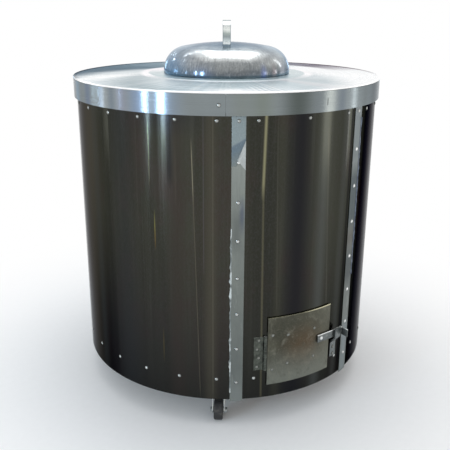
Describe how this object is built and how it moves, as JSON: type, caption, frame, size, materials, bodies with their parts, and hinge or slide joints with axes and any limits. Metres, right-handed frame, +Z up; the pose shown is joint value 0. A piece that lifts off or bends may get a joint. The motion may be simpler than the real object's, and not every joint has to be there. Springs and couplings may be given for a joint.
{
  "type": "barrel tandoor oven",
  "caption": "Barrel tandoor: riveted stainless drum round an insulated clay pot, with a domed lift-off lid, a latched ash door and swivel castors.",
  "frame": {"origin": "centre of the drum at floor level", "axes": "+Z up along the drum's axis, -Y towards the ash door, +X to the right as seen from the door"},
  "size_m": [0.7771, 0.7835, 0.9273],
  "materials": {
    "drum_sheet": "polished",
    "strap_steel": "matte",
    "band_steel": "brushed",
    "plate_steel": "circular brushed",
    "lid_steel": "polished",
    "handle_steel": "polished",
    "rivet_metal": "bright",
    "door_steel": "matte",
    "fitting_steel": "matte",
    "frame_steel": "matte",
    "clay": "matte",
    "insulation": "matte",
    "firebrick": "matte",
    "grate_iron": "matte",
    "castor_zinc": "zinc plated",
    "hub_plastic": "matte",
    "tyre_rubber": "matte"
  },
  "bodies": {
    "drum": {"shell_wrap_sheet": "drum_sheet", "shell_door_sheet": "drum_sheet", "front_seam_strap": "strap_steel", "side_seam_strap": "strap_steel", "front_strap_rivets": "rivet_metal", "side_strap_rivets": "rivet_metal", "seam_backing_strips": "frame_steel", "top_row_rivets": "rivet_metal", "bottom_row_rivets": "rivet_metal", "rim_band": "band_steel", "rim_band_rivet": "rivet_metal", "top_plate": "plate_steel", "top_support_ring": "frame_steel", "clay_pot": "clay", "insulation_fill": "insulation", "hearth_slab": "firebrick", "fire_grate": "grate_iron", "base_pan": "frame_steel", "ash_tunnel": "frame_steel", "latch_keeper": "fitting_steel", "latch_keeper_rivets": "rivet_metal", "hinge_drum_leaf": "fitting_steel", "hinge_drum_leaf_rivets": "rivet_metal", "hinge_pin": "fitting_steel", "castor_1_plate": "castor_zinc", "castor_2_plate": "castor_zinc", "castor_3_plate": "castor_zinc", "castor_4_plate": "castor_zinc", "castor_plate_bolts": "castor_zinc", "castor_kingpins": "castor_zinc"},
    "door": {"door_plate": "door_steel", "hinge_door_leaf": "fitting_steel", "hinge_door_leaf_rivets": "rivet_metal", "door_plug_pan": "frame_steel", "door_plug_fill": "insulation", "door_plug_rivets": "rivet_metal", "latch_spacer": "fitting_steel", "latch_pivot_rivet": "rivet_metal"},
    "latch": {"latch_bar": "fitting_steel"},
    "lid": {"lid_dome": "lid_steel", "lid_handle": "handle_steel", "lid_handle_rivets": "rivet_metal"},
    "castor_1_swivel": {"castor_1_fork": "castor_zinc", "castor_1_axle": "castor_zinc"},
    "castor_1_wheel": {"castor_1_hub": "hub_plastic", "castor_1_tyre": "tyre_rubber"},
    "castor_2_swivel": {"castor_2_fork": "castor_zinc", "castor_2_axle": "castor_zinc"},
    "castor_2_wheel": {"castor_2_hub": "hub_plastic", "castor_2_tyre": "tyre_rubber"},
    "castor_3_swivel": {"castor_3_fork": "castor_zinc", "castor_3_axle": "castor_zinc"},
    "castor_3_wheel": {"castor_3_hub": "hub_plastic", "castor_3_tyre": "tyre_rubber"},
    "castor_4_swivel": {"castor_4_fork": "castor_zinc", "castor_4_axle": "castor_zinc"},
    "castor_4_wheel": {"castor_4_hub": "hub_plastic", "castor_4_tyre": "tyre_rubber"}
  },
  "joints": [
    {"name": "lid_lift", "type": "slide", "parent": "drum", "child": "lid", "axis": [0, 0, 1], "range_m": [0, 0.4]},
    {"name": "door_hinge", "type": "hinge", "parent": "drum", "child": "door", "pos_m": [-0.0937, -0.37404, 0.189], "axis": [0, 0, -1], "range_deg": [0, 110]},
    {"name": "latch_lift", "type": "hinge", "parent": "door", "child": "latch", "pos_m": [0.05808, -0.38434, 0.1985], "axis": [0.1494, -0.9888, 0], "range_deg": [0, 75]},
    {"name": "castor_1_turn", "type": "hinge", "parent": "drum", "child": "castor_1_swivel", "pos_m": [-0.16951, -0.28663, 0.06], "axis": [0, 0, 1], "continuous": true},
    {"name": "castor_1_roll", "type": "hinge", "parent": "castor_1_swivel", "child": "castor_1_wheel", "pos_m": [-0.18071, -0.30556, 0.025], "axis": [0.8607, -0.509, 0], "continuous": true},
    {"name": "castor_2_turn", "type": "hinge", "parent": "drum", "child": "castor_2_swivel", "pos_m": [0.28663, -0.16951, 0.06], "axis": [0, 0, 1], "continuous": true},
    {"name": "castor_2_roll", "type": "hinge", "parent": "castor_2_swivel", "child": "castor_2_wheel", "pos_m": [0.27543, -0.18845, 0.025], "axis": [0.8607, -0.509, 0], "continuous": true},
    {"name": "castor_3_turn", "type": "hinge", "parent": "drum", "child": "castor_3_swivel", "pos_m": [0.16951, 0.28663, 0.06], "axis": [0, 0, 1], "continuous": true},
    {"name": "castor_3_roll", "type": "hinge", "parent": "castor_3_swivel", "child": "castor_3_wheel", "pos_m": [0.15831, 0.26769, 0.025], "axis": [0.8607, -0.509, 0], "continuous": true},
    {"name": "castor_4_turn", "type": "hinge", "parent": "drum", "child": "castor_4_swivel", "pos_m": [-0.28663, 0.16951, 0.06], "axis": [0, 0, 1], "continuous": true},
    {"name": "castor_4_roll", "type": "hinge", "parent": "castor_4_swivel", "child": "castor_4_wheel", "pos_m": [-0.29783, 0.15057, 0.025], "axis": [0.8607, -0.509, 0], "continuous": true}
  ]
}
